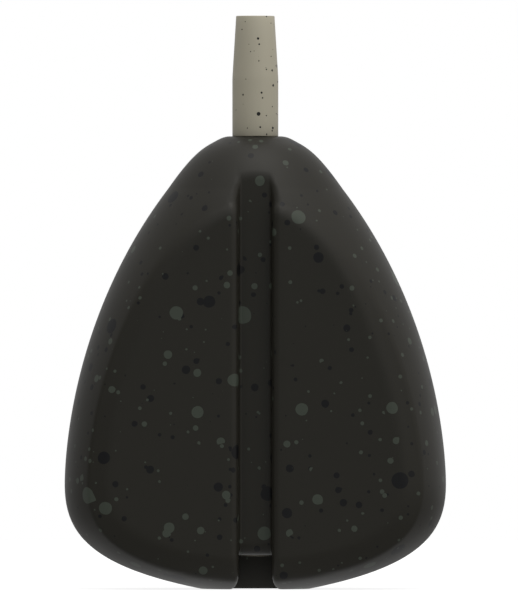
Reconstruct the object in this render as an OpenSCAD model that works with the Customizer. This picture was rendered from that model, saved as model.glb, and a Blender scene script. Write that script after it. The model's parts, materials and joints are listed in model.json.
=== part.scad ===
// Inline flat pear lead for carp fishing: a cast lead weight with a speckled
// coating and a push-fit plastic line stem. Millimetres, +Z up along the line
// bore, front face towards -Y, origin at the middle of the base flat.

/* [Body] */
// Height of the coated body, from the base flat to the stem's seat
body_h = 38.9; // [36:0.1:42]
// Width of the body at its belly
body_w = 32.8; // [30:0.1:36]
// Depth of the oval form, before its front and back are cut flat
oval_d = 24.6; // [22:0.1:27]
// Thickness of the body over its two flat faces
face_t = 13; // [12:0.1:14.5]
// Height of the widest level above the base
belly_z = 9; // [7:0.1:11]
// Width of the base flat
foot_w = 9.3; // [8.5:0.1:10.5]
// Width of the body at the shoulder, where the flank turns over
shoulder_w = 15; // [13.5:0.1:16]
// Height of the shoulder above the base
shoulder_z = 34.4; // [33:0.1:35]
// Width of the flat on top, which carries the stem
crown_w = 5.4; // [5.3:0.1:6.5]

/* [Face bevel] */
// Width of the shallow bevel around each flat face
bevel_w = 1.6; // [1:0.1:2.4]
// How far the bevel falls away from the flat face
bevel_drop = 0.5; // [0.3:0.05:0.8]

/* [Front groove] */
// Width of the groove between its side walls
groove_w = 2.84; // [2.8:0.02:3.6]
// Depth of the groove below the flat face
groove_depth = 1.54; // [1.1:0.02:1.8]
// Radius of the rounded edges along the groove
groove_edge_r = 0.72; // [0.45:0.01:0.9]
// Radius of the fillets along the groove's floor
groove_floor_r = 0.3; // [0.2:0.01:0.6]
// Radius of the lip where the groove's floor turns into the swivel pocket
lip_r = 1.1; // [0.6:0.05:1.5]

/* [Swivel pocket] */
// Height of the pocket above the base
pocket_h = 2.94; // [2.5:0.02:4]
// How far the pocket reaches behind the line bore's centre
pocket_back = 1.42; // [1.4:0.02:2]
// Radius of the flare where the pocket's side walls meet the base
pocket_flare_r = 0.8; // [0.35:0.01:1]

/* [Coating] */
// Thickness of the coating
coat_t = 0.3; // [0.2:0.01:0.35]

/* [Line stem] */
// Diameter at the tip of the tail
tail_tip_d = 3.3; // [3.1:0.05:3.7]
// Diameter of the straight part of the tail, which seats on the body
tail_d = 3.95; // [3.8:0.05:4.05]
// Length of the tapered part of the tail
tail_cone_l = 5.33; // [4:0.01:8]
// Length of the straight part of the tail
tail_straight_l = 5.03; // [4:0.01:8]
// Diameter of the shank inside the body
shank_d = 2.7; // [2.5:0.02:2.76]
// Diameter of the bore for the line
line_bore_d = 1.6; // [1.2:0.02:1.8]
// Width of the chamfer at each mouth of the line bore
bore_chamfer = 0.15; // [0.05:0.01:0.25]
// How far the shank's end stands proud of the pocket's ceiling
shank_proud = 0.12; // [0.05:0.01:0.3]
// Radial running clearance between the shank and its bore
shank_clearance = 0.03; // [0.02:0.005:0.05]

/* [Hidden] */
overrun = 1;
facets = 96;
curve_steps = 10;
belly_r = body_w / 2;
foot_r = foot_w / 2;
shoulder_r = shoulder_w / 2;
crown_r = crown_w / 2;
flat_y = face_t / 2;
oval_ratio = oval_d / body_w;
bevel_lap = bevel_drop / 3;
groove_half = groove_w / 2;
floor_y = flat_y - groove_depth;
bore_r = shank_d / 2 + shank_clearance;
// The two handles of each curve, as shares of the way to its end, [across, up]
foot_curve_shares = [[0.86, 0.22], [1, 0.57]];
flank_curve_shares = [[0, 0.05], [0.02, 0.55]];
crown_curve_shares = [[0.54, 0.83], [0.71, 0.81]];

// Where the depth outline closes, as shares of the way to its end
apex_shares = [0.4, 0.75, 0.94, 1];

function reversed(list) = [for (i = [len(list) - 1 : -1 : 0]) list[i]];

function part_way(a, b, share) = [for (i = [0, 1]) a[i] + (b[i] - a[i]) * share[i]];

// A cubic curve from a to b without its last point
function curve(a, b, shares) =
    let (h = part_way(a, b, shares[0]), k = part_way(a, b, shares[1]))
    [for (i = [0 : curve_steps - 1])
        let (t = i / curve_steps, u = 1 - t)
        u * u * u * a + 3 * u * u * t * h + 3 * u * t * t * k + t * t * t * b];

// Half of the body's outline seen from the front, from the base flat upwards
outline = let (
    foot = [foot_r, 0], belly = [belly_r, belly_z],
    shoulder = [shoulder_r, shoulder_z], crown = [crown_r, body_h])
    concat(curve(foot, belly, foot_curve_shares), curve(belly, shoulder, flank_curve_shares),
        curve(shoulder, crown, crown_curve_shares), [crown]);

// The same outline moved inwards along its normals
function inner_outline(inset) =
    let (last = len(outline) - 1)
    [for (i = [0 : last])
        let (along = outline[min(i + 1, last)] - outline[max(i - 1, 0)])
        outline[i] - inset * [along[1], -along[0]] / norm(along)];

// It reaches below the base, where the slab cuts it flat
module oval_form(inset) {
    half = inner_outline(inset);
    foot = [half[0][0], -overrun];
    scale([1, oval_ratio, 1])
        rotate_extrude($fn = facets)
            polygon(concat([[0, -overrun], foot], half, [[0, half[len(half) - 1][1]]]));
}

// Points on the way from p, inside the reach, to where p to q crosses it
function to_reach(p, q, reach) =
    let (end = p + (q - p) * (reach - p[0]) / (q[0] - p[0]))
    [for (share = apex_shares) p + (end - p) * share];

// Outline of the oval form at a depth y, seen from the front
module depth_outline(inset, y) {
    reach = y / oval_ratio;
    edge = inner_outline(inset);
    last = len(edge) - 1;
    inside = [for (p = edge) if (p[0] > reach) p];
    low = [for (i = [0 : last - 1]) if (edge[i][0] <= reach && edge[i + 1][0] > reach)
        each to_reach(edge[i + 1], edge[i], reach)];
    high = [for (i = [0 : last - 1]) if (edge[i][0] > reach && edge[i + 1][0] <= reach)
        each to_reach(edge[i], edge[i + 1], reach)];
    half = [for (p = concat(reversed(low), inside, high))
        [sqrt(max(0, p[0] * p[0] - reach * reach)), p[1]]];
    polygon(concat(half, [for (p = reversed(half)) if (p[0] > 0) [-p[0], p[1]]]));
}

module plate(y) {
    rotate([90, 0, 0])
        linear_extrude(2 * y, center = true)
            children();
}

// Everything above the base flat and between the two flat faces, with the
// bevel around each face
module face_slab(inset) {
    bevel_y = flat_y - bevel_drop - inset;
    translate([-body_w, -bevel_y, inset])
        cube([2 * body_w, 2 * bevel_y, 2 * body_h]);
    hull() {
        plate(bevel_y) offset(delta = bevel_lap) depth_outline(inset, bevel_y);
        plate(flat_y - inset) offset(delta = -bevel_w) depth_outline(inset, bevel_y);
    }
}

// Cross-section of the groove, drawn with the front face at the top
module groove_section(grow) {
    half = groove_half + grow;
    floor_r = groove_floor_r + grow;
    edge_r = groove_edge_r - grow;
    floor_at = floor_y - grow;
    top_at = flat_y - grow;
    translate([floor_r - half, floor_at])
        square([2 * (half - floor_r), groove_depth + overrun]);
    translate([-half, floor_at + floor_r])
        square([2 * half, groove_depth - floor_r + overrun]);
    for (side = [-1, 1])
        translate([side * (half - floor_r), floor_at + floor_r])
            circle(floor_r, $fn = facets);
    difference() {
        translate([-half - edge_r, top_at - edge_r])
            square([2 * (half + edge_r), edge_r + overrun]);
        for (side = [-1, 1])
            translate([side * (half + edge_r), top_at - edge_r])
                circle(edge_r, $fn = facets);
    }
}

module groove(grow) {
    translate([0, 0, pocket_h])
        linear_extrude(body_h)
            mirror([0, 1, 0])
                groove_section(grow);
}

// Rounds the groove's floor down into the pocket's ceiling
module groove_lip(grow) {
    half = groove_half + grow;
    round_r = lip_r - grow;
    ceiling = pocket_h + grow;
    translate([0, grow - floor_y, ceiling])
        rotate([90, 0, 90])
            linear_extrude(2 * half, center = true)
                difference() {
                    translate([-overrun, -overrun])
                        square(round_r + overrun);
                    translate([round_r, round_r])
                        circle(round_r, $fn = facets);
                    translate([round_r, -overrun])
                        square([overrun, overrun]);
                }
}

module pocket(grow) {
    half = groove_half + grow;
    flare_r = pocket_flare_r - grow;
    depth = flat_y + pocket_back + grow + overrun;
    translate([-half, pocket_back + grow - depth, -overrun])
        cube([2 * half, depth, pocket_h + grow + overrun]);
    translate([0, pocket_back + grow, 0])
        rotate([90, 0, 0])
            linear_extrude(depth)
                difference() {
                    translate([-half - flare_r, -overrun])
                        square([2 * (half + flare_r), flare_r + overrun]);
                    for (side = [-1, 1])
                        translate([side * (half + flare_r), flare_r])
                            circle(flare_r, $fn = facets);
                }
}

module stem_bore() {
    translate([0, 0, -overrun])
        cylinder(r = bore_r, h = body_h + 2 * overrun, $fn = facets);
}

// The body's form with its cuts, drawn inwards by a thickness
module body_form(inset) {
    difference() {
        intersection() {
            oval_form(inset);
            face_slab(inset);
        }
        groove(inset);
        groove_lip(inset);
        pocket(inset);
    }
}

// The bare patch of the base flat, where the casting comes through the coating
module foot_pad() {
    pad_h = 2 * coat_t;
    difference() {
        intersection() {
            translate([-foot_r, -foot_r, 0])
                cube([foot_w, foot_w, pad_h]);
            scale([1, oval_ratio, 1])
                cylinder(r = foot_r - coat_t, h = 3 * pad_h, center = true, $fn = facets);
        }
        pocket(coat_t);
    }
}

module lead_casting() {
    color("dimgray")
        difference() {
            union() {
                body_form(coat_t);
                foot_pad();
            }
            stem_bore();
        }
}

module speckled_coating() {
    color([0.15, 0.15, 0.14])
        difference() {
            body_form(0);
            body_form(coat_t);
            foot_pad();
            stem_bore();
        }
}

module line_stem() {
    tail_l = tail_cone_l + tail_straight_l;
    shank_end = pocket_h - shank_proud;
    tip = body_h + tail_l;
    bore = line_bore_d / 2;
    color([0.56, 0.54, 0.47])
        rotate_extrude($fn = facets)
            polygon([
                [bore + bore_chamfer, shank_end], [shank_d / 2, shank_end],
                [shank_d / 2, body_h], [tail_d / 2, body_h],
                [tail_d / 2, body_h + tail_straight_l], [tail_tip_d / 2, tip],
                [bore + bore_chamfer, tip], [bore, tip - bore_chamfer],
                [bore, shank_end + bore_chamfer]]);
}

lead_casting();
speckled_coating();
line_stem();
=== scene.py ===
"""An inline flat pear lead for carp fishing: a coated body with a groove and a pocket, and its line stem.

Lengths are in metres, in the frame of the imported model: +Z up along the line bore, the front towards -Y.
"""

import json
import logging
import math
from dataclasses import dataclass, field
from enum import Enum

import bpy
import numpy as np
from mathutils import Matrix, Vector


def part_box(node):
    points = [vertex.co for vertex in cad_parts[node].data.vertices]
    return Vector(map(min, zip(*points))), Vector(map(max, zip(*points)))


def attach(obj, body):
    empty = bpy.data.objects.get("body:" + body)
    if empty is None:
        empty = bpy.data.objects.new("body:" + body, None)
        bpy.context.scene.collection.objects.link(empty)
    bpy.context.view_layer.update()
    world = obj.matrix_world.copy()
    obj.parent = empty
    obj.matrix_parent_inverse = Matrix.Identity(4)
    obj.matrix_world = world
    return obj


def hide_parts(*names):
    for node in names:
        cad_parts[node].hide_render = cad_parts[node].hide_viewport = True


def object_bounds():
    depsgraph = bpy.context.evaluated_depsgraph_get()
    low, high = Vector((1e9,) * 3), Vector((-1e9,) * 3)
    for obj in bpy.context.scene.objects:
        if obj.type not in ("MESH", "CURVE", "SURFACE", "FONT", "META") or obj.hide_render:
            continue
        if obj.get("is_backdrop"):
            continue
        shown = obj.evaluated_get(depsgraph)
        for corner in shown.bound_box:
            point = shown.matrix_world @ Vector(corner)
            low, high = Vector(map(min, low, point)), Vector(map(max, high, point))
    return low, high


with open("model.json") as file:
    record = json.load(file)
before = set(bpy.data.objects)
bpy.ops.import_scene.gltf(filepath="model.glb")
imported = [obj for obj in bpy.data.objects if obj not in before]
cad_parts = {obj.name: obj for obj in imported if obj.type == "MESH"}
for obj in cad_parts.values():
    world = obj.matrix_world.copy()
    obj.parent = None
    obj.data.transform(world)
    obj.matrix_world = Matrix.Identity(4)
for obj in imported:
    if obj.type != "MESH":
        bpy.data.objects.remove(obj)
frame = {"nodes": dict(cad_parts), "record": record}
CAD_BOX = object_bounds()

MM = 0.001
log = logging.getLogger("flat_pear_lead")

# Two numbers, such as a span or (across, up), then three, such as a direction, and a colour with alpha
Pair = tuple[float, float]
Triple = tuple[float, float, float]
Rgba = tuple[float, float, float, float]

# The two handles of each curve of the outline, as shares of the way to its end, (across, up)
FOOT_CURVE_SHARES = ((0.86, 0.22), (1, 0.57))
FLANK_CURVE_SHARES = ((0, 0.05), (0.02, 0.55))
CROWN_CURVE_SHARES = ((0.54, 0.83), (0.71, 0.81))

# How finely the body's outline is divided, and its surface round the flank and down from the crown
CURVE_STEPS = 600
BEYOND_STEPS = 60
ANGLE_STEPS = 720
SKIN_COLUMNS = 104
EDGE_COLUMNS = 9
WALL_COLUMNS = 4
CORNER_COLUMNS = 6
FLOOR_COLUMNS = 9
CROWN_ROWS = 4
UPPER_ROWS = (11, 13, 16, 15, 54)
LIP_ROWS = 12
ROOF_ROWS = 8
BEHIND_ROWS = 4
BACK_CORNER_ROWS = 2
BACK_ROWS = 6
FLARE_ROWS = 8
BASE_ROWS = 2
LOWER_ROWS = LIP_ROWS + ROOF_ROWS + BEHIND_ROWS + BACK_CORNER_ROWS + BACK_ROWS + FLARE_ROWS

# How often the groove's edge is fitted to the body's surface
GROOVE_PASSES = 5

# Distances to the kink line are taken to one in so many of its points, for so many places at once
LINE_STRIDE = 4
PLACES_AT_ONCE = 400

# How near two places lie that count as touching
TOUCH = 0.001 * MM

# The colour sockets of a Mix node, by number, since its sockets of other kinds have the same names
MIX_SHARE = 0
MIX_FIRST = 6
MIX_SECOND = 7
MIX_RESULT = 2

# The operations of a Vector Math node that give a number
NUMBER_RESULTS = ("LENGTH", "DOT_PRODUCT")

# The middle of the range of a random colour
MID_GREY = (0.5, 0.5, 0.5)


def soft_min(a: np.ndarray, b: np.ndarray, blend: np.ndarray | float) -> np.ndarray:
    """The smaller of two heights, with the corner where they cross rounded.

    Formula: h is a half plus the difference b - a over twice the blend, held between 0 and 1. The result
    mixes b with a by h and takes off blend times h times (1 - h).

    Args:
        a: first height.
        b: second height.
        blend: how far apart the two are where the rounding ends.

    Returns:
        The rounded lower envelope.
    """
    h = np.clip(0.5 + 0.5 * (b - a) / blend, 0, 1)
    return b * (1 - h) + a * h - blend * h * (1 - h)


def smooth_step(value: np.ndarray, start: float, end: float) -> np.ndarray:
    """Goes from 0 at start to 1 at end along t * t * (3 - 2 t), where t is the share of the way."""
    t = np.clip((value - start) / (end - start), 0, 1)
    return t * t * (3 - 2 * t)


def cubic(
    start: np.ndarray, end: np.ndarray, shares: tuple[Pair, Pair], steps: int = CURVE_STEPS
) -> np.ndarray:
    """Points of a cubic curve, from its start up to but without its end.

    Formula: u^3 start + 3 u^2 t h + 3 u t^2 k + t^3 end, with u = 1 - t. The handles h and k lie the given
    shares of the way from start to end, across and up.

    Args:
        start: first point, (across, up).
        end: last point, (across, up).
        shares: the two handles' shares.
        steps: number of points.

    Returns:
        An array of points, one row each.
    """
    first, second = (start + (end - start) * np.array(share) for share in shares)
    t = np.linspace(0, 1, steps, endpoint=False)[:, None]
    u = 1 - t
    return u**3 * start + 3 * u**2 * t * first + 3 * u * t**2 * second + t**3 * end


def spread(stations: list[float], counts: tuple[int, ...]) -> np.ndarray:
    """Numbers from the first station to the last, with a given count of even steps between each two."""
    runs = [np.linspace(a, b, n, endpoint=False) for a, b, n in zip(stations, stations[1:], counts)]
    return np.concatenate([*runs, stations[-1:]])


def rounded_loop(
    corners: np.ndarray, cuts: np.ndarray, steps: int = 5, reach: float = 0.6 * MM
) -> np.ndarray:
    """A closed outline whose corners are rounded.

    Formula: each corner becomes a parabola (1 - t)^2 before + 2 t (1 - t) corner + t^2 after, from a point
    one cut before the corner to a point one cut after it. Long sides get points at most the reach apart.

    Args:
        corners: the corners in order, (across, up), one row each.
        cuts: how far from each corner its rounding starts.
        steps: number of steps round a corner.
        reach: the longest step along a side.

    Returns:
        The points in order, one row each.
    """
    t = np.linspace(0, 1, steps + 1)[:, None]
    before, after = np.roll(corners, 1, axis=0), np.roll(corners, -1, axis=0)
    rounds = []
    for last, corner, following, cut in zip(before, corners, after, cuts):
        start = corner + (last - corner) / np.linalg.norm(last - corner) * cut
        end = corner + (following - corner) / np.linalg.norm(following - corner) * cut
        rounds.append((1 - t) ** 2 * start + 2 * t * (1 - t) * corner + t**2 * end)
    points = []
    for here, following in zip(rounds, rounds[1:] + rounds[:1]):
        side = following[0] - here[-1]
        count = max(1, math.ceil(np.linalg.norm(side) / reach))
        points.append(here)
        points.append(here[-1] + side * np.linspace(0, 1, count + 1)[1:-1, None])
    return np.vstack(points)


def grid_faces(rows: int, columns: int) -> np.ndarray:
    """Faces of a grid of closed rows, whose points run along each row in turn.

    Formula: each face joins a point, the next one in its row, and the two below them.

    Args:
        rows: number of rows.
        columns: number of points in a row.

    Returns:
        An array of (rows - 1, columns, 4) point numbers.
    """
    row, column = np.meshgrid(np.arange(rows - 1), np.arange(columns), indexing="ij")
    after = (column + 1) % columns
    here, below = row * columns, (row + 1) * columns
    return np.stack([here + column, here + after, below + after, below + column], axis=-1)


def mesh_object(
    name: str, points: np.ndarray, faces: np.ndarray, weld: float = 0.0005 * MM
) -> bpy.types.Object:
    """Puts computed points and four-sided faces into a new mesh object, and welds the points that coincide.

    A face with one side welded away becomes a triangle. One with less than three corners is dropped.

    Args:
        name: the object's name.
        points: an array of (x, y, z), one row each.
        faces: an array of four point numbers, one row each.
        weld: points that round to the same multiple of this distance are one.

    Returns:
        The object, at the origin, shaded smooth.
    """
    keys = np.round(points / weld).astype(np.int64)
    _, first, where = np.unique(keys, axis=0, return_index=True, return_inverse=True)
    quads = where.reshape(-1)[faces]
    welded = quads == np.roll(quads, 1, axis=1)
    whole = quads[~welded.any(axis=1)]
    whole = whole[(whole[:, 0] != whole[:, 2]) & (whole[:, 1] != whole[:, 3])]
    halved = welded.sum(axis=1) == 1
    triangles = quads[halved][~welded[halved]].reshape(-1, 3)
    mesh = bpy.data.meshes.new(name)
    mesh.from_pydata(points[first].tolist(), [], whole.tolist() + triangles.tolist())
    mesh.validate()
    mesh.shade_smooth()
    piece = bpy.data.objects.new(name, mesh)
    bpy.context.scene.collection.objects.link(piece)
    return piece


@dataclass
class CoatedBody:
    """The coated body: an oval pear form between two flat faces, with the front groove and the pocket.

    A span is the pair of heights between which a change towards the crown or the foot takes place.
    """

    height: float
    width: float
    face_t: float
    oval_ratio: float = 0.75
    foot_w: float = 9.3 * MM
    belly_z: float = 9 * MM
    shoulder_w: float = 15 * MM
    shoulder_z: float = 34.4 * MM
    crown_w: float = 5.4 * MM
    crown_blend: float = 0.3 * MM
    crown_turn_z: float = 36 * MM
    bevel_w: float = 1.6 * MM
    bevel_drop: float = 0.5 * MM
    crown_bevel_share: float = 0.5
    crown_bevel_span: Pair = (27 * MM, 32.5 * MM)
    crown_bevel_steeper: float = 0.6
    steeper_span: Pair = (20 * MM, 31 * MM)
    bevel_outer_blend: float = 0.12 * MM
    crown_bevel_blend: float = 0.28 * MM
    foot_bevel_blend: float = 0.6 * MM
    foot_bevel_span: Pair = (0.8 * MM, 5 * MM)
    bevel_inner_blend: float = 0.14 * MM
    kink_turn: float = math.radians(36)
    kink_spread: float = math.radians(13)
    skin_density: float = 0.75
    kink_density: float = 1.1
    groove_half: float = 1.42 * MM
    groove_depth: float = 1.54 * MM
    groove_edge_r: float = 0.72 * MM
    crown_edge_r: float = 1.0 * MM
    crown_edge_span: Pair = (31 * MM, 34 * MM)
    groove_floor_r: float = 0.3 * MM
    groove_end_blend: float = 0.26 * MM
    groove_least_turn: float = math.radians(35)
    lip_r: float = 1.1 * MM
    pocket_h: float = 2.94 * MM
    pocket_back: float = 1.42 * MM
    pocket_flare_w: float = 0.74 * MM
    pocket_bare_w: float = 0.8 * MM
    pocket_flare_h: float = 1.5 * MM
    pocket_tip_r: float = 0.3 * MM
    coat_t: float = 0.3 * MM
    bore_r: float = 1.38 * MM
    outline_r: np.ndarray = field(init=False)
    outline_z: np.ndarray = field(init=False)
    flat_y: float = field(init=False)
    floor_y: float = field(init=False)
    lip_z: float = field(init=False)
    kink_line: np.ndarray = field(init=False)

    def __post_init__(self) -> None:
        """Works out the outline and the places that follow from the sizes.

        The outline runs on straight past the crown's edge, where it is held softly to the crown's height.
        The kink line is the outline of the oval form at the depth of the bevel's outer edge.
        """
        foot = np.array([self.foot_w / 2, 0.0])
        belly = np.array([self.width / 2, self.belly_z])
        shoulder = np.array([self.shoulder_w / 2, self.shoulder_z])
        crown = np.array([self.crown_w / 2, self.height])
        curves = [
            cubic(foot, belly, FOOT_CURVE_SHARES),
            cubic(belly, shoulder, FLANK_CURVE_SHARES),
            cubic(shoulder, crown, CROWN_CURVE_SHARES),
        ]
        last_way = crown - curves[-1][-1]
        run_on = np.linspace(0, 2 * self.crown_blend, BEYOND_STEPS)[:, None]
        beyond = crown + last_way / np.linalg.norm(last_way) * run_on
        points = np.vstack([*curves, beyond])[::-1]
        self.outline_r = points[:, 0]
        self.outline_z = soft_min(points[:, 1], np.full(len(points), self.height), self.crown_blend)
        self.flat_y = self.face_t / 2
        self.floor_y = self.flat_y - self.groove_depth
        self.lip_z = self.pocket_h + self.lip_r
        reach = self.kink_depth(self.outline_z) / self.oval_ratio
        wide = self.outline_r > reach
        kink_x = np.sqrt(self.outline_r[wide] ** 2 - reach[wide] ** 2)
        self.kink_line = np.stack([kink_x, self.outline_z[wide]], axis=-1)

    def crown_share(self, z: np.ndarray) -> np.ndarray:
        """How far a height counts as the crown, where the bevel gives way to a soft turn."""
        return smooth_step(z, *self.crown_bevel_span)

    def kink_depth(self, z: np.ndarray) -> np.ndarray:
        """How deep the bevel's outer edge lies at a height: its drop shrinks towards the crown."""
        return self.flat_y - self.bevel_drop * (1 + (self.crown_bevel_share - 1) * self.crown_share(z))

    def body_depth(self, oval: np.ndarray, x: np.ndarray, z: np.ndarray) -> np.ndarray:
        """The oval form's depth or the face's limit, whichever is less, softly.

        Formula: the rounded lower envelope of the two, whose blend grows from the bevel's own to the
        crown's and to the foot's.

        Args:
            oval: depths of the oval form.
            x: places across.
            z: places up.

        Returns:
            The depth from the middle plane.
        """
        crown = (self.crown_bevel_blend - self.bevel_outer_blend) * self.crown_share(z)
        foot_share = 1 - smooth_step(z, *self.foot_bevel_span)
        foot = (self.foot_bevel_blend - self.bevel_outer_blend) * foot_share
        return soft_min(oval, self.face_limit(x, z), self.bevel_outer_blend + crown + foot)

    def face_limit(self, x: np.ndarray, z: np.ndarray) -> np.ndarray:
        """How deep the body may be at a place on its face.

        Formula: the flat face's depth, or the bevel's, whichever is less, softly. The bevel rises by its
        drop over its width, and more steeply towards the crown, with the distance inside the kink line.

        Args:
            x: places across.
            z: places up.

        Returns:
            The depth from the middle plane.
        """
        line = self.kink_line[::LINE_STRIDE]
        places = np.stack([np.abs(x).reshape(-1), z.reshape(-1)], axis=-1)
        parts = np.array_split(places, max(1, len(places) // PLACES_AT_ONCE))
        distance = np.concatenate([
            np.sqrt(((part[:, None] - line[None]) ** 2).sum(axis=2).min(axis=1)) for part in parts
        ])
        edge = np.interp(places[:, 1], line[::-1, 1], line[::-1, 0], left=0, right=0)
        distance = np.where(places[:, 0] < edge, distance, -distance).reshape(x.shape)
        steeper = 1 + self.crown_bevel_steeper * smooth_step(z, *self.steeper_span)
        bevel = self.kink_depth(z) + self.bevel_drop * distance / self.bevel_w * steeper
        return soft_min(np.full(x.shape, self.flat_y), bevel, self.bevel_inner_blend)

    def front_depth(self, x: np.ndarray, z: np.ndarray, r: np.ndarray) -> np.ndarray:
        """Depth of the front without its groove, whose oval part is the ratio times a circle's depth."""
        oval = self.oval_ratio * np.sqrt(np.maximum(r**2 - x**2, 0))
        return self.body_depth(oval, x, z)

    def rows(self) -> tuple[np.ndarray, np.ndarray, int]:
        """Half widths and heights of the horizontal rows, from the crown's edge down to the base.

        Formula: even steps along the outline between the heights where it or the groove turns, closer
        together near the crown. Below the groove's lip there are as many rows as the pocket's path has
        points, and the last ones follow the flare's quarter oval.

        Returns:
            Half widths, heights, and the number of the row at the groove's lip.
        """
        steps = np.hypot(np.diff(self.outline_r), np.diff(self.outline_z))
        along = np.concatenate([[0], np.cumsum(steps)])
        edge_z = self.height - self.crown_blend
        heights = [edge_z, self.crown_turn_z, self.shoulder_z, self.crown_edge_span[0], self.lip_z]
        stops = [float(np.interp(-z, -self.outline_z, along)) for z in heights]
        flare_top = float(np.interp(-self.pocket_flare_h, -self.outline_z, along))
        upper = spread([0.0, *stops], UPPER_ROWS)
        lower = spread([stops[-1], flare_top], (LOWER_ROWS - FLARE_ROWS,))[1:]
        places = np.concatenate([upper, lower])
        turn = np.linspace(0, math.pi / 2, FLARE_ROWS + 1)[1:]
        flare_z = self.pocket_flare_h * (1 - np.sin(turn))
        z = np.concatenate([np.interp(places, along, self.outline_z), flare_z])
        flare_r = np.interp(-flare_z, -self.outline_z, self.outline_r)
        r = np.concatenate([np.interp(places, along, self.outline_r), flare_r])
        return r, z, len(upper) - 1

    def flare(self, z: np.ndarray) -> np.ndarray:
        """How far the pocket's side stands out at a height: a quarter oval that ends flat on the base."""
        rise = 1 - np.clip(z / self.pocket_flare_h, 0, 1)
        return self.pocket_flare_w * (1 - np.sqrt(1 - rise**2))

    def skin(self, r: np.ndarray, z: np.ndarray, end: np.ndarray) -> np.ndarray:
        """The right half of the outside, from the middle of the back round the flank to the groove's edge.

        Formula: along each row the angle runs from the back's middle to the groove. Across is the half
        width times its cosine, and depth is the half depth times its sine, softly held within the face's
        limit. The columns lie closest together near the kink, by a bell curve of the angle.

        Args:
            r: half width of each row.
            z: height of each row.
            end: where each row's front ends, across.

        Returns:
            An array (rows, columns, 3) of places across, towards the front and up.
        """
        angle = np.linspace(-math.pi / 2, math.pi / 2, ANGLE_STEPS + 1)
        bell = np.exp(-(((np.abs(angle) - self.kink_turn) / self.kink_spread) ** 2))
        density = self.skin_density + self.kink_density * bell
        reached = np.cumsum(density) - density[0]
        share = np.linspace(0, 1, len(angle))
        share = np.interp(np.linspace(0, reached[-1], SKIN_COLUMNS + 1), reached, share)
        last = np.arccos(np.clip(end / r, -1, 1))
        turn = -math.pi / 2 + (last[:, None] + math.pi / 2) * share
        across = r[:, None] * np.cos(turn)
        oval = self.oval_ratio * r[:, None] * np.abs(np.sin(turn))
        up = np.broadcast_to(z[:, None], across.shape)
        depth = self.body_depth(oval, across, up)
        return np.stack([across, depth * np.sign(turn), up], axis=-1)

    def groove_side(self, r: np.ndarray, z: np.ndarray) -> tuple[np.ndarray, np.ndarray]:
        """The groove above its lip, from its rounded right edge to its middle.

        Formula: a quarter round out of the face, a wall, and a quarter round into the floor. Where the
        body falls back so far that no wall is left, both rounds share a smaller angle, whose cosine is 1
        less the groove's depth over the sum of the radii. Each place lies its share of that rise between
        the floor and the body's surface. The edge's radius grows towards the crown.

        Args:
            r: half width of each row.
            z: height of each row.

        Returns:
            An array (rows, columns, 3) of places across, towards the front and up, and each row's start.
        """
        floor_r = self.groove_floor_r
        wider = (self.crown_edge_r - self.groove_edge_r) * smooth_step(z, *self.crown_edge_span)
        edge_r = self.groove_edge_r + wider
        inner = self.groove_half - floor_r
        reach = edge_r + floor_r
        start = self.groove_half + edge_r
        for _ in range(GROOVE_PASSES):
            top = self.front_depth(start, z, r)
            depth = top - soft_min(np.full(r.shape, self.floor_y), top, self.groove_end_blend)
            turn = np.arccos(np.clip(1 - depth / reach, 0, math.cos(self.groove_least_turn)))
            start = inner + reach * np.sin(turn)
        turn, side = turn[:, None], (inner + floor_r * np.sin(turn))[:, None]
        edge_r, reach = edge_r[:, None], reach[:, None]
        rise = np.maximum(depth[:, None], reach * (1 - np.cos(turn)))
        edge_turn = turn * np.linspace(0, 1, EDGE_COLUMNS + 1)[:-1]
        floor_turn = turn * np.linspace(1, 0, CORNER_COLUMNS + 1)
        wall_top, wall_foot = rise - edge_r * (1 - np.cos(turn)), floor_r * (1 - np.cos(turn))
        wall_up = wall_top + (wall_foot - wall_top) * np.linspace(0, 1, WALL_COLUMNS + 1)[:-1]
        flat_x = inner * np.sin(np.linspace(math.pi / 2, 0, FLOOR_COLUMNS + 1)[1:])
        across = np.concatenate([
            start[:, None] - edge_r * np.sin(edge_turn),
            np.broadcast_to(side, wall_up.shape),
            inner + floor_r * np.sin(floor_turn),
            np.broadcast_to(flat_x, (len(r), FLOOR_COLUMNS)),
        ], axis=1)
        share = np.concatenate([
            rise - edge_r * (1 - np.cos(edge_turn)),
            wall_up,
            floor_r * (1 - np.cos(floor_turn)),
            np.zeros((len(r), FLOOR_COLUMNS)),
        ], axis=1) / rise
        up = np.broadcast_to(z[:, None], across.shape)
        body = self.front_depth(across, up, np.broadcast_to(r[:, None], across.shape))
        floor = soft_min(np.full(across.shape, self.floor_y), body, self.groove_end_blend)
        return np.stack([across, floor + share * (body - floor), up], axis=-1), start

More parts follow.
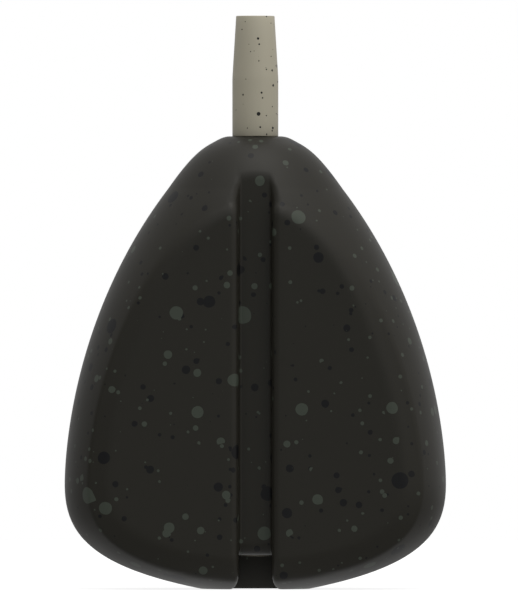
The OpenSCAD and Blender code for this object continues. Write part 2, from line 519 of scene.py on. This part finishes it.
    def pocket_path(self, flare_z: np.ndarray) -> dict[str, np.ndarray]:
        """The way down the pocket's middle: round the lip, along the roof past the bore and down the back.

        Formula: a quarter round of the lip's radius, a straight roof in two runs that end on the bore, a
        small quarter round, and a straight drop to the base whose last points share the flare's heights.

        Args:
            flare_z: the heights of the flare's rows.

        Returns:
            For each point its place towards the front and up, the way into the pocket from it (front,
            up), how far the bore's circle holds it back (1 in front of the bore, -1 behind it), and how
            far round the lip it is.
        """
        corner = self.pocket_back - self.bore_r
        lip_front = self.floor_y - self.lip_r
        lip = np.linspace(0, math.pi / 2, LIP_ROWS + 1)[1:]
        turn = np.linspace(0, math.pi / 2, BACK_CORNER_ROWS + 1)[1:]
        drop = np.linspace(self.pocket_h - corner, self.pocket_flare_h, BACK_ROWS + 1)[1:]
        roof = np.linspace(0, 1, ROOF_ROWS + 1)[1:]
        behind = np.linspace(0, 1, BEHIND_ROWS)
        over, down = np.zeros(ROOF_ROWS + BEHIND_ROWS), np.ones(BACK_ROWS + FLARE_ROWS)
        front = [
            lip_front + self.lip_r * np.cos(lip),
            lip_front * (1 - roof),
            -self.bore_r * behind,
            corner - self.pocket_back - corner * np.sin(turn),
            -self.pocket_back * down,
        ]
        up = [
            self.lip_z - self.lip_r * np.sin(lip),
            over + self.pocket_h,
            self.pocket_h - corner * (1 - np.cos(turn)),
            drop,
            flare_z,
        ]
        bore = [0 * lip, roof, behind - 1, 0 * turn, 0 * down]
        return {
            "front": np.concatenate(front),
            "up": np.concatenate(up),
            "in_front": np.concatenate([np.cos(lip), over, np.sin(turn), down]),
            "in_up": np.concatenate([-np.sin(lip), over - 1, -np.cos(turn), 0 * down]),
            "bore": np.concatenate(bore),
            "lip": np.concatenate([lip * 2 / math.pi, over + 1, 0 * turn + 1, down]),
        }

    def pocket_side(self, r: np.ndarray, z: np.ndarray) -> tuple[np.ndarray, np.ndarray]:
        """The pocket below the groove's lip, from its rounded right edge to its middle.

        Formula: each row leaves the body by a quarter round at its own height, crosses the side wall in a
        straight line to its point on the pocket's path, turns onto the path's surface by a quarter round
        and follows it to the middle. On the roof, a place in front of or behind the bore stops on the
        bore's circle. Everything on the side stands out by the flare at its own height, and the edge's
        radius shrinks towards the base.

        Args:
            r: half width of each row.
            z: height of each row.

        Returns:
            An array (rows, columns, 3) of places across, towards the front and up, and each row's start.
        """
        path = {name: values[:, None] for name, values in self.pocket_path(z[-FLARE_ROWS:]).items()}
        corner = self.pocket_back - self.bore_r
        grown = smooth_step(z, 0, 2 * self.groove_edge_r)
        edge_r = (self.pocket_tip_r + (self.groove_edge_r - self.pocket_tip_r) * grown)[:, None]
        wall_x = self.groove_half + self.flare(z)
        start = wall_x[:, None] + edge_r
        turn = np.linspace(0, math.pi / 2, EDGE_COLUMNS + 1)[:-1]
        edge_x = start - edge_r * np.sin(turn)
        edge_z = np.broadcast_to(z[:, None], edge_x.shape)
        wide = np.broadcast_to(r[:, None], edge_x.shape)
        edge_y = self.front_depth(edge_x, edge_z, wide) - edge_r * (1 - np.cos(turn))
        floor_r = self.groove_floor_r + (corner - self.groove_floor_r) * smooth_step(path["lip"], 0, 1)
        top_y = self.front_depth(wall_x, z, r)[:, None] - edge_r
        share = np.linspace(0, 1, WALL_COLUMNS + 1)[:-1]
        wall_y = top_y + (path["front"] + floor_r * path["in_front"] - top_y) * share
        wall_z = z[:, None] + (path["up"] + floor_r * path["in_up"] - z[:, None]) * share
        bend = np.linspace(math.pi / 2, 0, CORNER_COLUMNS + 1)
        off = floor_r * (1 - np.cos(bend))
        bend_z = path["up"] + off * path["in_up"]
        bend_x = self.groove_half - floor_r * (1 - np.sin(bend)) + self.flare(bend_z)
        flat = np.sin(np.linspace(math.pi / 2, 0, FLOOR_COLUMNS + 1)[1:])
        flat_x = (self.groove_half - floor_r + self.flare(path["up"])) * flat
        flat_y = path["front"] + path["bore"] * self.bore_r * np.sqrt(1 - flat**2)
        across = [edge_x, self.groove_half + self.flare(wall_z), bend_x, flat_x]
        front = [edge_y, wall_y, path["front"] + off * path["in_front"], flat_y]
        up = [edge_z, wall_z, bend_z, np.broadcast_to(path["up"], flat_x.shape)]
        places = [np.concatenate(part, axis=1) for part in (across, front, up)]
        return np.stack(places, axis=-1), start[:, 0]

    def crown_rings(self, edge: np.ndarray) -> np.ndarray:
        """Flat rings on the crown, from the bore's circle out to the crown's edge.

        Formula: each point of the edge has its place on the bore's circle in the same direction from the
        axis, and the rings divide the way between the two evenly.

        Args:
            edge: the points of the crown's edge, (across, back, up), one row each.

        Returns:
            An array (rings, points, 3).
        """
        circle = edge * self.bore_r / np.linalg.norm(edge[:, :2], axis=1, keepdims=True)
        circle[:, 2] = edge[:, 2]
        share = np.linspace(0, 1, CROWN_ROWS + 1)[:-1, None, None]
        return circle + (edge - circle) * share

    def base_rings(self, edge: np.ndarray) -> np.ndarray:
        """Flat rings on the base, from its edge inwards to the bare patch's outline.

        Formula: the oval shrinks about the middle until it is one coating thickness less wide on each
        side. The pocket's outline grows about it until its sides reach the patch's and its back has moved
        one thickness.

        Args:
            edge: the points of the base's edge, (across, back, up), one row each.

        Returns:
            An array (rings, points, 3).
        """
        side_x = self.groove_half + self.pocket_flare_w
        patch_x = self.groove_half + self.pocket_bare_w
        across, back = np.abs(edge[:, 0]), edge[:, 1]
        pocket = (across < side_x + TOUCH) & (back < self.pocket_back + TOUCH)
        shrink = 1 - 2 * self.coat_t / self.foot_w
        wider = np.where(pocket, patch_x / side_x, shrink)
        deeper = np.where(pocket & (back > 0), 1 + self.coat_t / self.pocket_back, shrink)
        patch = edge * np.stack([wider, deeper, np.ones(len(edge))], axis=-1)
        least = np.where(~pocket & (back < self.pocket_back), patch_x, 0)
        patch[:, 0] = np.sign(edge[:, 0]) * np.maximum(np.abs(patch[:, 0]), least)
        share = np.linspace(0, 1, BASE_ROWS + 1)[1:, None, None]
        return edge + (patch - edge) * share

    def build(self) -> bpy.types.Object:
        """Joins the outside, the groove and the pocket into rings, and these into the coating.

        Formula: the right half of each ring is mirrored to the left, and the rings run from the bore's
        mouth on the crown down to the bare patch's outline. The faces over the bore are left open.

        Returns:
            The coating, with its wall turned inwards by a Solidify modifier.
        """
        r, z, lip_row = self.rows()
        groove, groove_start = self.groove_side(r[: lip_row + 1], z[: lip_row + 1])
        pocket, pocket_start = self.pocket_side(r[lip_row + 1 :], z[lip_row + 1 :])
        outside = self.skin(r, z, np.concatenate([groove_start, pocket_start]))
        half = np.concatenate([outside[:, :-1], np.concatenate([groove, pocket])], axis=1)
        mirrored = half[:, -2:0:-1] * np.array([-1, 1, 1])
        rings = np.concatenate([half, mirrored], axis=1) * np.array([1, -1, 1])
        rings = np.concatenate([self.crown_rings(rings[0]), rings, self.base_rings(rings[-1])])
        faces = grid_faces(*rings.shape[:2])
        bore_row = CROWN_ROWS + lip_row + LIP_ROWS + ROOF_ROWS
        middle = half.shape[1] - 1
        keep = np.ones(faces.shape[:2], bool)
        keep[bore_row, middle - FLOOR_COLUMNS : middle + FLOOR_COLUMNS] = False
        piece = mesh_object("coating_skin", rings.reshape(-1, 3), faces[keep])
        wall = piece.modifiers.new("wall", "SOLIDIFY")
        wall.thickness = self.coat_t
        wall.offset = -1
        wall.use_even_offset = True
        return piece

    def dress(self, piece: bpy.types.Object) -> None:
        """Gives the coating its finish, and says which solid it replaces and which body it rides.

        Args:
            piece: the coating, as built.
        """
        paint(piece, SpeckledCoating().material())
        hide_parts("speckled_coating")
        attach(piece, "lead")


@dataclass
class LineStem:
    """The plastic stem: a tapered tail above the body and a shank through it, bored for the line."""

    tip_z: float
    seat_z: float
    end_z: float
    tail_r: float
    bore_r: float
    straight_l: float
    shank_r: float = 1.35 * MM
    tip_r: float = 1.65 * MM
    chamfer: float = 0.15 * MM
    edge_r: float = 0.06 * MM
    end_edge_r: float = 0.02 * MM
    shoulder_r: float = 0.25 * MM
    side_steps: int = 120

    def build(self) -> bpy.types.Object:
        """Turns the stem's closed profile round the bore.

        Formula: across is the profile's radius times the angle's cosine, and depth is it times its sine.

        Returns:
            The stem.
        """
        mouth = self.bore_r + self.chamfer
        corners = [
            ((mouth, self.tip_z), self.edge_r),
            ((self.tip_r, self.tip_z), self.edge_r),
            ((self.tail_r, self.seat_z + self.straight_l), self.shoulder_r),
            ((self.tail_r, self.seat_z), self.edge_r),
            ((self.shank_r, self.seat_z), self.edge_r),
            ((self.shank_r, self.end_z), self.end_edge_r),
            ((mouth, self.end_z), self.end_edge_r),
            ((self.bore_r, self.end_z + self.chamfer), self.edge_r),
            ((self.bore_r, self.tip_z - self.chamfer), self.edge_r),
        ]
        places = np.array([place for place, _ in corners])
        cuts = np.array([cut for _, cut in corners])
        profile = rounded_loop(places, cuts)
        angle = np.linspace(0, 2 * math.pi, self.side_steps, endpoint=False)
        x = profile[:, :1] * np.cos(angle)
        y = profile[:, :1] * np.sin(angle)
        points = np.stack([x, y, np.broadcast_to(profile[:, 1:], x.shape)], axis=-1)
        points = np.concatenate([points, points[:1]])
        faces = grid_faces(*points.shape[:2])[..., ::-1]
        return mesh_object("stem_moulding", points.reshape(-1, 3), faces.reshape(-1, 4))

    def dress(self, piece: bpy.types.Object) -> None:
        """Gives the stem its finish, and says which solid it replaces and which body it rides.

        Args:
            piece: the stem, as built.
        """
        paint(piece, SpeckedPlastic(self.tip_z, self.seat_z).material())
        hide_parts("line_stem")
        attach(piece, "stem")


class Wire:
    """A shader socket that takes part in arithmetic: each operation adds a Math node."""

    def __init__(self, graph: "Graph", socket: bpy.types.NodeSocket) -> None:
        """Keeps the socket and the graph it belongs to."""
        self.graph = graph
        self.socket = socket

    def math(self, operation: str, *others: "Wire | float") -> "Wire":
        """Adds a Math node of this operation on this wire and the others."""
        return self.graph.math(operation, self, *others)

    def __add__(self, other: "Wire | float") -> "Wire":
        """This wire plus another, or plus a number."""
        return self.math("ADD", other)

    __radd__ = __add__

    def __sub__(self, other: "Wire | float") -> "Wire":
        """This wire less another, or less a number."""
        return self.math("SUBTRACT", other)

    def __rsub__(self, other: float) -> "Wire":
        """A number less this wire."""
        return self.graph.math("SUBTRACT", other, self)

    def __mul__(self, other: "Wire | float") -> "Wire":
        """This wire times another, or times a number."""
        return self.math("MULTIPLY", other)

    __rmul__ = __mul__

    def __truediv__(self, other: "Wire | float") -> "Wire":
        """This wire over another, or over a number."""
        return self.math("DIVIDE", other)

    def __pow__(self, other: float) -> "Wire":
        """This wire to a power."""
        return self.math("POWER", other)

    def __lt__(self, other: "Wire | float") -> "Wire":
        """1 where this wire is less than the other, and otherwise 0."""
        return self.math("LESS_THAN", other)


class Graph:
    """A node tree, with one way to add a node to it."""

    def __init__(self, name: str = "", tree: bpy.types.NodeTree | None = None) -> None:
        """Empties a node tree for its new nodes.

        Args:
            name: the name of the material that is made where no tree is given.
            tree: the tree of something that is there, such as the world.
        """
        if tree is None:
            self.material = bpy.data.materials.new(name)
            self.material.use_nodes = True
            tree = self.material.node_tree
        self.tree = tree
        self.tree.nodes.clear()

    def node(self, kind: str, settings: dict | None = None, inputs: dict | None = None) -> bpy.types.Node:
        """Adds a node.

        Args:
            kind: the node's type.
            settings: its settings by name, which are set first.
            inputs: values or wires for its sockets, by name or number.

        Returns:
            The node.
        """
        made = self.tree.nodes.new(kind)
        for name, value in (settings or {}).items():
            setattr(made, name, value)
        for name, value in (inputs or {}).items():
            if isinstance(value, Wire):
                self.tree.links.new(value.socket, made.inputs[name])
            else:
                made.inputs[name].default_value = value
        return made

    def math(self, operation: str, *values: Wire | float) -> Wire:
        """A Math node's result for these values."""
        made = self.node("ShaderNodeMath", {"operation": operation}, dict(enumerate(values)))
        return self.out(made, "Value")

    def vector(self, operation: str, *values: Wire | Triple, scale: Wire | float | None = None) -> Wire:
        """A Vector Math node's result for these values.

        Args:
            operation: what the node does.
            values: the vectors that it does it with.
            scale: the factor, where the operation takes one.

        Returns:
            A number for the operations that give one, and otherwise a vector.
        """
        inputs = dict(enumerate(values))
        if scale is not None:
            inputs["Scale"] = scale
        made = self.node("ShaderNodeVectorMath", {"operation": operation}, inputs)
        return self.out(made, "Value" if operation in NUMBER_RESULTS else "Vector")

    def out(self, made: bpy.types.Node, name: str | int) -> Wire:
        """One output of a node."""
        return Wire(self, made.outputs[name])

    def channels(self, hue: Wire) -> tuple[Wire, Wire, Wire]:
        """The three channels of a colour."""
        parts = self.node("ShaderNodeSeparateColor", {}, {"Color": hue})
        return self.out(parts, "Red"), self.out(parts, "Green"), self.out(parts, "Blue")

    def mix(self, share: Wire | float, first: Wire | Rgba, second: Wire | Rgba) -> Wire:
        """One colour mixed with another.

        Args:
            share: how much of the second colour there is.
            first: first colour.
            second: second colour.

        Returns:
            The mixed colour.
        """
        inputs = {MIX_SHARE: share, MIX_FIRST: first, MIX_SECOND: second}
        return self.out(self.node("ShaderNodeMix", {"data_type": "RGBA"}, inputs), MIX_RESULT)

    def place_mm(self, offset: float = 0.0) -> Wire:
        """The place on the piece in millimetres, moved by an offset along all three axes."""
        object_place = self.out(self.node("ShaderNodeTexCoord"), "Object")
        return self.vector("MULTIPLY_ADD", object_place, (1 / MM,) * 3, (offset,) * 3)

    def noise(self, place: Wire, size: float, detail: float = 2.0, output: str = "Fac") -> Wire:
        """A Noise node's output, for a noise whose main swell is about this many millimetres wide."""
        inputs = {"Vector": place, "Scale": 1 / size, "Detail": detail}
        return self.out(self.node("ShaderNodeTexNoise", {}, inputs), output)

    def surface(self, inputs: dict, height: Wire, strength: float, depth: float) -> bpy.types.Material:
        """Ends a material with a Principled shader that has a relief.

        Args:
            inputs: values or wires for the shader's sockets, by name.
            height: the height of the relief, as a share of its depth.
            strength: how much of the relief is felt.
            depth: the depth of the relief.

        Returns:
            The material.
        """
        bump = self.node("ShaderNodeBump", {}, {"Strength": strength, "Distance": depth, "Height": height})
        relief = {"Normal": self.out(bump, "Normal")}
        shader = self.node("ShaderNodeBsdfPrincipled", {}, inputs | relief)
        self.node("ShaderNodeOutputMaterial", {}, {"Surface": self.out(shader, "BSDF")})
        return self.material


def colour(*parts: float) -> Rgba:
    """A linear colour with full alpha."""
    return (*parts, 1.0)


class Tone(Enum):
    """The two kinds of speck."""

    PALE = "pale"
    DARK = "dark"


@dataclass(frozen=True)
class SpeckLayer:
    """Specks of one size class, in mm: balls of paint in cells of a random lattice, cut by the surface."""

    cell: float
    filled: float
    smallest: float
    largest: float
    pale: float
    offset: float
    size_power: float = 1.6
    pointed: float = 0.9
    knobbed: float = 0.25
    knob_tilt: Triple = (0.36, 0.48, 0.8)
    knob_away: float = 1.25
    knob_size: float = 0.45
    ragged: float = 0.15
    ragged_size: float = 1.6
    ragged_detail: float = 1.0

    def masks(self, graph: Graph) -> dict[Tone, Wire]:
        """Works out where this layer's specks lie.

        Formula: a place is in a speck where its distance from its cell's centre is less than the cell's
        reach. The reach is the ball's radius. Near one random direction it is the radius over the cosine
        of how much nearer the place lies to that direction than the tip's half angle, which gives the
        ball a straight-sided tip. Some balls carry a smaller ball as a knob. A noise pushes the places
        about, which makes the edges ragged.

        Args:
            graph: the material's graph.

        Returns:
            A mask of 0 or 1 for each tone.
        """
        place = graph.place_mm(self.offset)
        swell = graph.noise(place, self.largest * self.ragged_size, self.ragged_detail, "Color")
        centred = graph.vector("SUBTRACT", swell, MID_GREY)
        push = graph.vector("SCALE", centred, scale=self.ragged * self.largest)
        warped = graph.vector("ADD", place, push)
        cells = graph.node(
            "ShaderNodeTexVoronoi",
            {"voronoi_dimensions": "3D", "feature": "F1"},
            {"Vector": warped, "Scale": 1 / self.cell, "Randomness": 1.0},
        )
        centre = graph.out(cells, "Position")
        size_chance, fill_chance, tone_chance = graph.channels(graph.out(cells, "Color"))
        dice = graph.node("ShaderNodeTexWhiteNoise", {"noise_dimensions": "3D"}, {"Vector": centre})
        throw = graph.out(dice, "Color")
        tip_chance, knob_chance, _ = graph.channels(throw)
        way = graph.vector("NORMALIZE", graph.vector("SUBTRACT", throw, MID_GREY))
        arm = graph.vector("SUBTRACT", warped, centre)
        distance = graph.vector("LENGTH", arm)
        turn = (graph.vector("DOT_PRODUCT", arm, way) / distance).math("ARCCOSINE")
        radius = self.smallest + (self.largest - self.smallest) * size_chance**self.size_power
        reach = radius / (tip_chance * self.pointed - turn).math("MAXIMUM", 0.0).math("COSINE")
        beside = graph.vector("CROSS_PRODUCT", way, self.knob_tilt)
        knob_arm = graph.vector("SCALE", beside, scale=radius * self.knob_away)
        knob_distance = graph.vector("LENGTH", graph.vector("SUBTRACT", arm, knob_arm))
        knob = (knob_distance < radius * self.knob_size) * (knob_chance < self.knobbed)
        speck = (distance < reach).math("MAXIMUM", knob) * (fill_chance < self.filled)
        is_pale = tone_chance < self.pale
        return {Tone.PALE: speck * is_pale, Tone.DARK: speck * (1 - is_pale)}


def swing(middle: float, width: float, cloud: Wire) -> Wire:
    """A number that a noise moves up and down over a width about its middle."""
    return middle - width / 2 + width * cloud


def gather(graph: Graph, layers: tuple[SpeckLayer, ...]) -> dict[Tone, Wire]:
    """The masks of several layers of specks together.

    Args:
        graph: the material's graph.
        layers: the layers.

    Returns:
        A mask of 0 or 1 for each tone: the largest of the layers' masks.
    """
    together: dict[Tone, Wire] = {}
    for layer in layers:
        for tone, mask in layer.masks(graph).items():
            together[tone] = together[tone].math("MAXIMUM", mask) if tone in together else mask
    return together


@dataclass(frozen=True)
class SpeckledCoating:
    """The body's thick matt coating: warm near-black, with grey-green and black specks and a fine grain."""

    ground: Rgba = colour(0.0248, 0.0232, 0.018)
    shade: Rgba = colour(0.0236, 0.022, 0.0171)
    pale: Rgba = colour(0.0569, 0.0668, 0.0522)
    dark: Rgba = colour(0.0077, 0.0078, 0.0083)
    gloss: float = 0.22
    roughness: float = 0.36
    cloud_mm: float = 6.0
    cloud_roughness: float = 0.06
    grain_mm: float = 0.09
    grain_detail: float = 3.0
    grain_strength: float = 0.05
    grain_depth: float = 0.02 * MM
    layers: tuple[SpeckLayer, ...] = (
        SpeckLayer(cell=2.7, filled=0.9, smallest=0.36, largest=0.76, pale=0.43, offset=17.3),
        SpeckLayer(cell=1.5, filled=0.9, smallest=0.17, largest=0.38, pale=0.46, offset=41.9),
        SpeckLayer(cell=0.86, filled=0.85, smallest=0.04, largest=0.2, pale=0.55, offset=63.1, knobbed=0.0),
    )

    def material(self) -> bpy.types.Material:
        """Builds the coating's node tree: a faint cloud, then the dark specks, then the pale ones.

        Returns:
            The material.
        """
        graph = Graph("speckled_coating")
        place = graph.place_mm()
        cloud = graph.noise(place, self.cloud_mm)
        body = graph.mix(cloud, self.ground, self.shade)
        masks = gather(graph, self.layers)
        body = graph.mix(masks[Tone.DARK], body, self.dark)
        body = graph.mix(masks[Tone.PALE], body, self.pale)
        inputs = {
            "Base Color": body,
            "Roughness": swing(self.roughness, self.cloud_roughness, cloud),
            "Specular IOR Level": self.gloss,
        }
        grain = graph.noise(place, self.grain_mm, self.grain_detail)
        return graph.surface(inputs, grain, self.grain_strength, self.grain_depth)


@dataclass(frozen=True)
class SpeckedPlastic:
    """The stem's satin beige plastic, with small black specks, paler at its tip by painted light and darker
    at its foot by painted shade.
    """

    tip_z: float
    seat_z: float
    ground: Rgba = colour(0.486, 0.450, 0.348)
    cooler: Rgba = colour(0.474, 0.441, 0.342)
    speck: Rgba = colour(0.003, 0.003, 0.003)
    gloss: float = 0.43
    roughness: float = 0.36
    cloud_mm: float = 2.5
    cloud_roughness: float = 0.08
    # Painted light and shade: the tip's colour is raised as painted light, and the foot's is lowered as
    # painted shade next to the body
    painted_tip_light: float = 0.17
    painted_tip_light_reach_mm: float = 1.3
    painted_foot_shade: float = 0.32
    painted_foot_shade_reach_mm: float = 1.0
    grain_mm: float = 0.12
    grain_strength: float = 0.04
    grain_depth: float = 0.02 * MM
    layers: tuple[SpeckLayer, ...] = (
        SpeckLayer(cell=0.8, filled=0.4, smallest=0.08, largest=0.17, pale=0.0, offset=7.7, pointed=0.5),
        SpeckLayer(cell=0.42, filled=0.6, smallest=0.03, largest=0.08, pale=0.0, offset=29.2, knobbed=0.0),
    )

    def material(self) -> bpy.types.Material:
        """Builds the plastic's node tree.

        Formula: the colour is scaled by 1, plus the gain times the exponential of minus the way below the
        tip over its reach, less the loss times that of the way above the seat. The gain is painted light on
        the tip, and the loss is painted shade at the foot, where the body shades the stem.

        Returns:
            The material.
        """
        graph = Graph("specked_plastic")
        place = graph.place_mm()
        cloud = graph.noise(place, self.cloud_mm)
        height = graph.out(graph.node("ShaderNodeSeparateXYZ", {}, {"Vector": place}), "Z")
        below_tip = (self.tip_z / MM - height).math("MAXIMUM", 0.0) / -self.painted_tip_light_reach_mm
        above_seat = (height - self.seat_z / MM).math("MAXIMUM", 0.0) / -self.painted_foot_shade_reach_mm
        # Painted light at the tip and painted shade at the foot, scaled into the base colour
        painted_tip_share = self.painted_tip_light * below_tip.math("EXPONENT")
        painted_foot_share = self.painted_foot_shade * above_seat.math("EXPONENT")
        body = graph.mix(cloud, self.ground, self.cooler)
        body = graph.vector("SCALE", body, scale=1 + painted_tip_share - painted_foot_share)
        body = graph.mix(gather(graph, self.layers)[Tone.DARK], body, self.speck)
        inputs = {
            "Base Color": body,
            "Roughness": swing(self.roughness, self.cloud_roughness, cloud),
            "Specular IOR Level": self.gloss,
        }
        grain = graph.noise(place, self.grain_mm)
        return graph.surface(inputs, grain, self.grain_strength, self.grain_depth)


@dataclass(frozen=True)
class CastLead:
    """Bare cast lead: dull blue-grey, cloudy with oxide, slightly pitted from the mould."""

    bright: Rgba = colour(0.34, 0.35, 0.37)
    dull: Rgba = colour(0.17, 0.175, 0.185)
    metallic: float = 0.7
    roughness: float = 0.45
    cloud_mm: float = 1.8
    cloud_detail: float = 6.0
    cloud_roughness: float = 0.25
    pit_mm: float = 0.25
    pit_detail: float = 4.0
    pit_strength: float = 0.25
    pit_depth: float = 0.05 * MM

    def material(self) -> bpy.types.Material:
        """Builds the lead's node tree: a cloud dulls and roughens it.

        Returns:
            The material.
        """
        graph = Graph("cast_lead")
        place = graph.place_mm()
        cloud = graph.noise(place, self.cloud_mm, self.cloud_detail)
        inputs = {
            "Base Color": graph.mix(cloud, self.bright, self.dull),
            "Metallic": self.metallic,
            "Roughness": self.roughness + self.cloud_roughness * cloud,
        }
        pits = graph.noise(place, self.pit_mm, self.pit_detail)
        return graph.surface(inputs, pits, self.pit_strength, self.pit_depth)


def paint(piece: bpy.types.Object, material: bpy.types.Material) -> None:
    """Gives a piece one material all over."""
    piece.data.materials.clear()
    piece.data.materials.append(material)


@dataclass(frozen=True)
class Glow:
    """A soft bright part of the surround: its level falls off from its middle as the cosine to a power."""

    way: Triple
    level: float
    power: float
    hue: Triple = (1.0, 1.0, 1.0)

    def light(self, graph: Graph, looking: Wire) -> Wire:
        """The colour of this part of the surround in a direction.

        Args:
            graph: the world's graph.
            looking: the direction looked in.

        Returns:
            The hue times the level times the power of the cosine, which is held above 0.
        """
        facing = graph.vector("DOT_PRODUCT", looking, self.way)
        share = self.level * facing.math("MAXIMUM", 0.0) ** self.power
        return graph.vector("SCALE", self.hue, scale=share)


@dataclass(frozen=True)
class Pool:
    """A pool of light in the floor under the object."""

    level: float
    half_widths: Pair

    def share(self, graph: Graph, place: Wire) -> Wire:
        """How much of the pool's level there is at a place.

        Args:
            graph: the floor's graph.
            place: the place on the floor, in metres.

        Returns:
            The exponential of minus the squared distance from the middle, in half widths.
        """
        scaled = graph.vector("MULTIPLY", place, (1 / self.half_widths[0], 1 / self.half_widths[1], 0))
        distance = graph.vector("LENGTH", scaled)
        return (distance * distance * -1).math("EXPONENT")


@dataclass
class Studio:
    """A pale floor, a soft surround that is white to the camera, and a level camera with a long lens."""

    floor_r: float = 0.3
    floor_sides: int = 96
    floor_drop: float = 0.02 * MM
    floor_paint: Rgba = colour(0.3, 0.3, 0.3)
    floor_lift: float = 0.85
    floor_gleam: float = 0.16
    wide_pool: Pool = Pool(level=0.27, half_widths=(20 * MM, 9 * MM))
    core_pool: Pool = Pool(level=0.3, half_widths=(5 * MM, 5 * MM))
    white: Rgba = colour(1, 1, 1)
    lens_mm: float = 1000.0
    sensor_mm: float = 36.0
    image_w: int = 518
    image_h: int = 612
    mm_per_pixel: float = 0.086
    axis_pixel: float = 255.33
    base_pixel: float = 588.7
    # The way, level, power and hue of each glow
    glows: tuple[Glow, ...] = (
        Glow((0, 0, 1), 1.16, 2, (1.0, 0.99, 0.98)),
        Glow((1, 0, 0), 0.53, 2, (1.0, 0.99, 0.98)),
        Glow((-1, 0, 0), 0.1, 2),
        Glow((-0.9, 0.3, 0.3), 0.22, 8),
        Glow((-0.55, -0.8, 0.24), 0.12, 16),
        Glow((0, 1, 0), 0.455, 2),
        Glow((0, -1, 0), 0.31, 8, (0.97, 1.02, 1.0)),
        Glow((0, -0.8, 0.6), 0.28, 8, (0.9, 1.0, 1.2)),
        Glow((0.7071, -0.7071, 0), 0.4, 8, (1.02, 1.0, 0.95)),
        Glow((0.6, -0.6, 0.53), 0.38, 8, (1.05, 1.0, 0.96)),
        Glow((0.1, -0.35, 0.9314), 2.12, 20, (1.02, 1.0, 0.945)),
    )

    def camera(self) -> None:
        """Adds the camera, level and square on, so that a pixel covers its share of a millimetre."""
        data = bpy.data.cameras.new("camera")
        data.lens = self.lens_mm
        data.sensor_width = self.sensor_mm
        camera = bpy.data.objects.new("camera", data)
        bpy.context.scene.collection.objects.link(camera)
        pixel = self.mm_per_pixel * MM
        camera.location = (
            (self.image_w / 2 - self.axis_pixel) * pixel,
            -self.image_h * pixel * self.lens_mm / self.sensor_mm,
            (self.base_pixel - self.image_h / 2) * pixel,
        )
        camera.rotation_euler = (math.pi / 2, 0, 0)
        bpy.context.scene.camera = camera

    def floor(self) -> None:
        """Adds the floor: a pale round light table, lifted to white for the camera.

        The lift is the same all over, so the object's shadow stays. The table's own glow lies under the
        object, as an oval pool under the body and a small one under the pocket.
        """
        angle = np.linspace(0, 2 * math.pi, self.floor_sides, endpoint=False)
        rim = np.stack([np.cos(angle), np.sin(angle), 0 * angle], axis=-1) * self.floor_r
        rim[:, 2] = -self.floor_drop
        mesh = bpy.data.meshes.new("floor")
        mesh.from_pydata(rim.tolist(), [], [list(range(len(angle)))])
        floor = bpy.data.objects.new("floor", mesh)
        bpy.context.scene.collection.objects.link(floor)
        paint(floor, self.floor_material())
        floor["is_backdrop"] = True

    def floor_material(self) -> bpy.types.Material:
        """Builds the floor's node tree: pale paint plus a glow.

        Formula: to the camera the glow is the lift, and to all else it is the sum of the two pools. Glossy
        rays also see a gleam in the shape of the wide pool.

        Returns:
            The material.
        """
        graph = Graph("floor")
        ray = graph.node("ShaderNodeLightPath")
        seen = graph.out(ray, "Is Camera Ray")
        place = graph.out(graph.node("ShaderNodeTexCoord"), "Object")
        wide = self.wide_pool.share(graph, place)
        core = self.core_pool.share(graph, place)
        own = (self.wide_pool.level * wide + self.core_pool.level * core) * (1 - seen)
        gleam = self.floor_gleam * graph.out(ray, "Is Glossy Ray") * wide
        light = graph.vector("SCALE", self.white[:3], scale=self.floor_lift * seen + own + gleam)
        diffuse = graph.node("ShaderNodeBsdfDiffuse", {}, {"Color": self.floor_paint})
        glow = graph.node("ShaderNodeEmission", {}, {"Color": light})
        lights = {0: graph.out(diffuse, "BSDF"), 1: graph.out(glow, "Emission")}
        both = graph.node("ShaderNodeAddShader", {}, lights)
        graph.node("ShaderNodeOutputMaterial", {}, {"Surface": graph.out(both, "Shader")})
        return graph.material

    def surround(self) -> None:
        """Makes the world: the sum of its glows for the object, and plain white for the camera."""
        world = bpy.data.worlds.new("surround")
        bpy.context.scene.world = world
        world.use_nodes = True
        graph = Graph(tree=world.node_tree)
        looking = graph.out(graph.node("ShaderNodeTexCoord"), "Generated")
        light = self.glows[0].light(graph, looking)
        for glow in self.glows[1:]:
            light = graph.vector("ADD", light, glow.light(graph, looking))
        seen = graph.out(graph.node("ShaderNodeLightPath"), "Is Camera Ray")
        back = graph.node("ShaderNodeBackground", {}, {"Color": graph.mix(seen, light, self.white)})
        graph.node("ShaderNodeOutputWorld", {}, {"Surface": graph.out(back, "Background")})

    def build(self) -> None:
        """Sets up the whole studio."""
        bpy.context.scene.view_settings.view_transform = "Standard"
        self.camera()
        self.floor()
        self.surround()


def main() -> None:
    """Builds the pieces in order, dresses them and sets up the studio."""
    logging.basicConfig(level=logging.INFO, format="%(name)s: %(message)s")
    mounts = {mount["name"]: mount["dims"] for mount in frame["record"]["mounts"]}
    coat_low, coat_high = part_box("speckled_coating")
    stem_low, stem_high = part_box("line_stem")
    body = CoatedBody(
        height=coat_high.z - coat_low.z,
        width=coat_high.x - coat_low.x,
        face_t=coat_high.y - coat_low.y,
    )
    stem = LineStem(
        tip_z=stem_high.z,
        seat_z=coat_high.z,
        end_z=stem_low.z,
        tail_r=mounts["tail_sleeve"]["r_mm"] * MM,
        bore_r=mounts["line_bore"]["r_mm"] * MM,
        straight_l=mounts["tail_sleeve"]["length_mm"] * MM,
    )
    for assembly in (body, stem):
        piece = assembly.build()
        assembly.dress(piece)
        log.info("%s: %d faces", piece.name, len(piece.data.polygons))

    casting = frame["nodes"]["lead_casting"]
    paint(casting, CastLead().material())
    log.info("%s: %d faces", casting.name, len(casting.data.polygons))

    Studio().build()
    boxes = {"cad": CAD_BOX, "visual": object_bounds()}
    {name: [list(corner) for corner in box] for name, box in boxes.items()}


if __name__ == "__main__":
    main()
